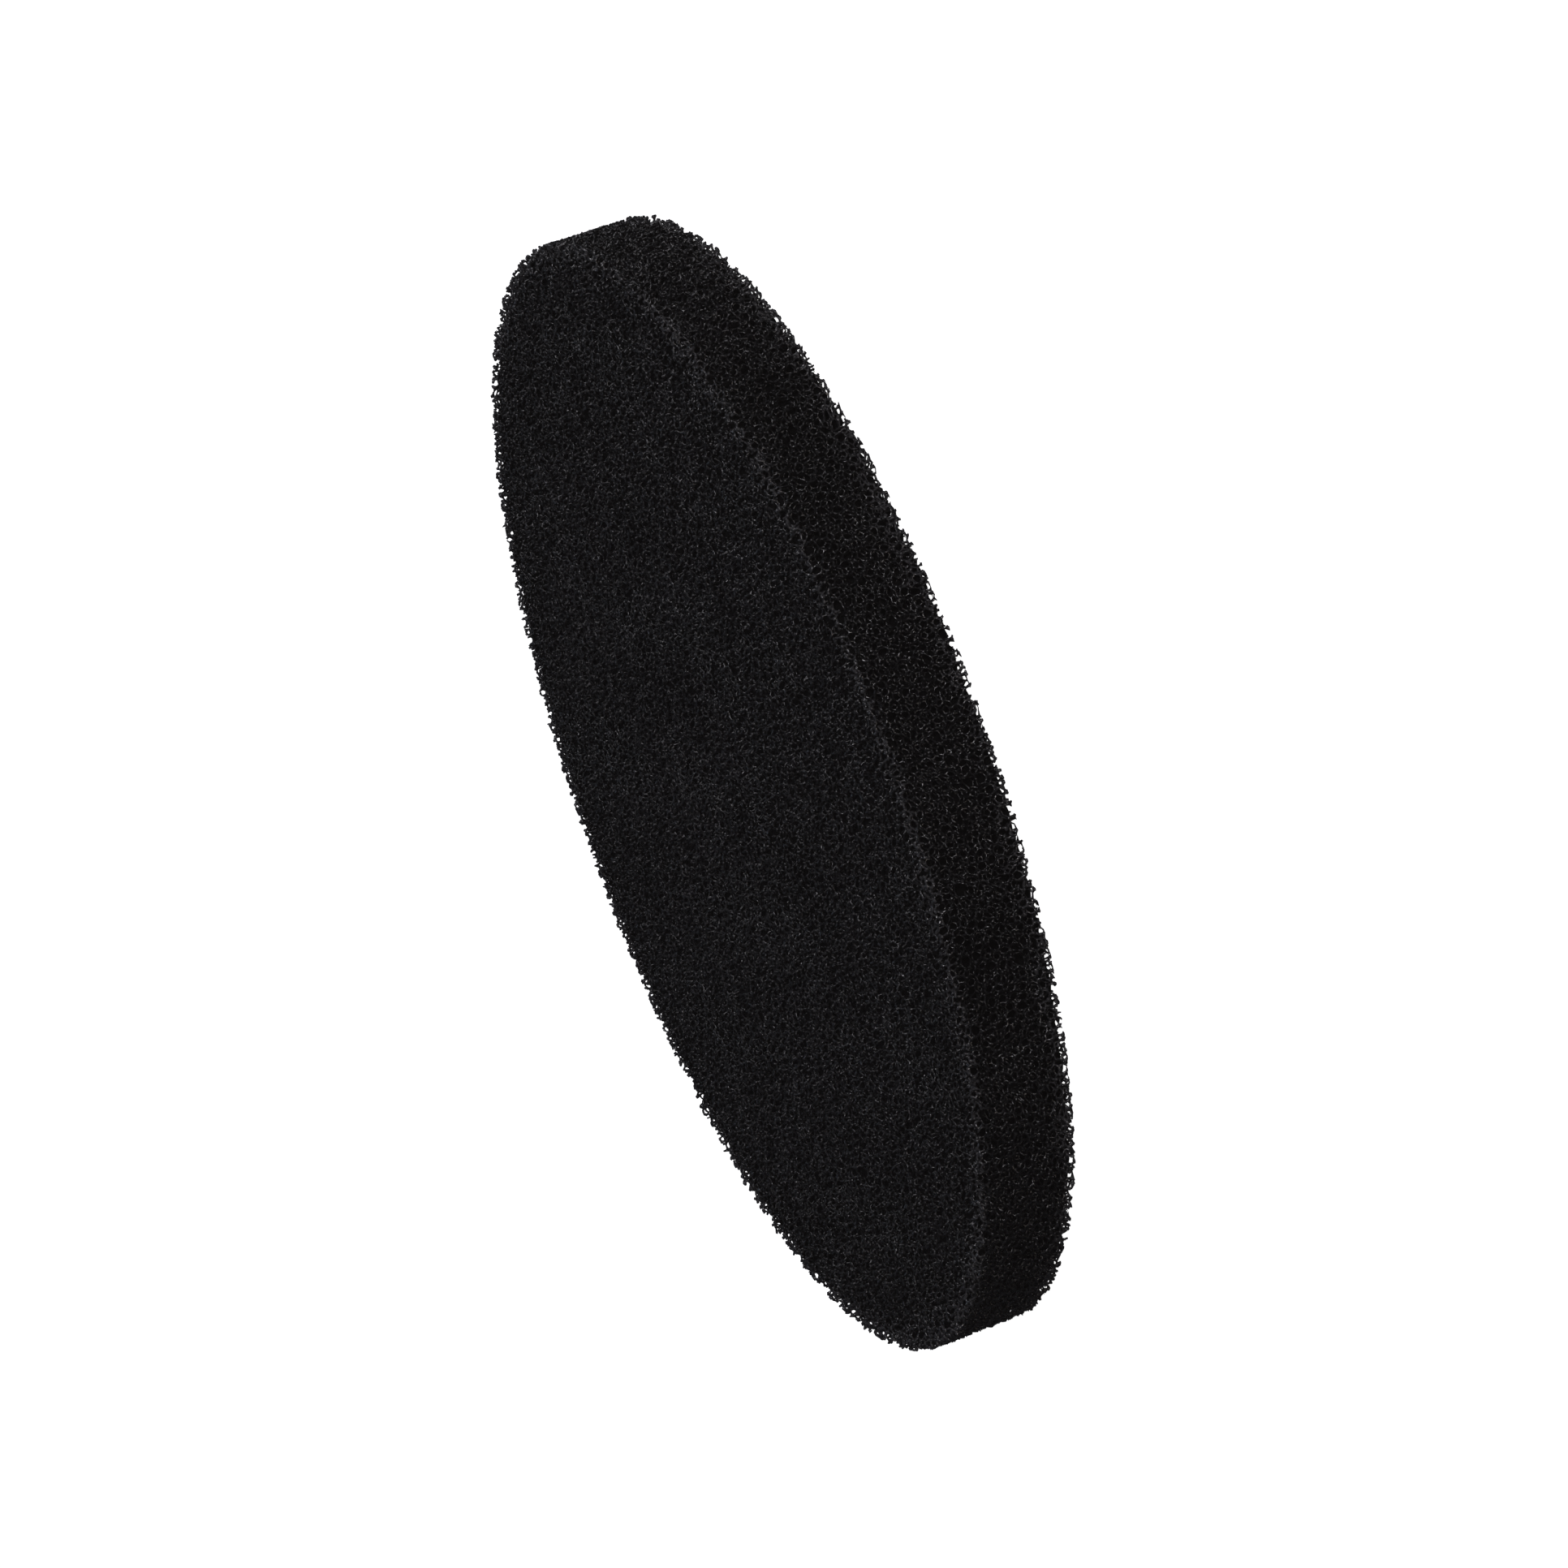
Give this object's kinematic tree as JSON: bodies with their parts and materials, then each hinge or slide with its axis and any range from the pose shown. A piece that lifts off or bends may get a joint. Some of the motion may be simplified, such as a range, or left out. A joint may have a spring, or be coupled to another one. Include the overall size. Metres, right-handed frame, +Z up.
{
  "type": "foam disc",
  "caption": "Thin flat round disc of black open-cell foam, one plain piece with a straight-cut rim. Its use isn't shown; it is probably a filter or a sponge pad.",
  "frame": {"origin": "centre of the bottom face, on the disc's axis", "axes": "+Z up along the disc's axis, from the bottom face to the top face; X and Y lie in the face and are equal"},
  "size_m": [0.12, 0.12, 0.01],
  "materials": {
    "foam": "matte"
  },
  "bodies": {
    "root": {"foam_disc": "foam"}
  },
  "joints": []
}
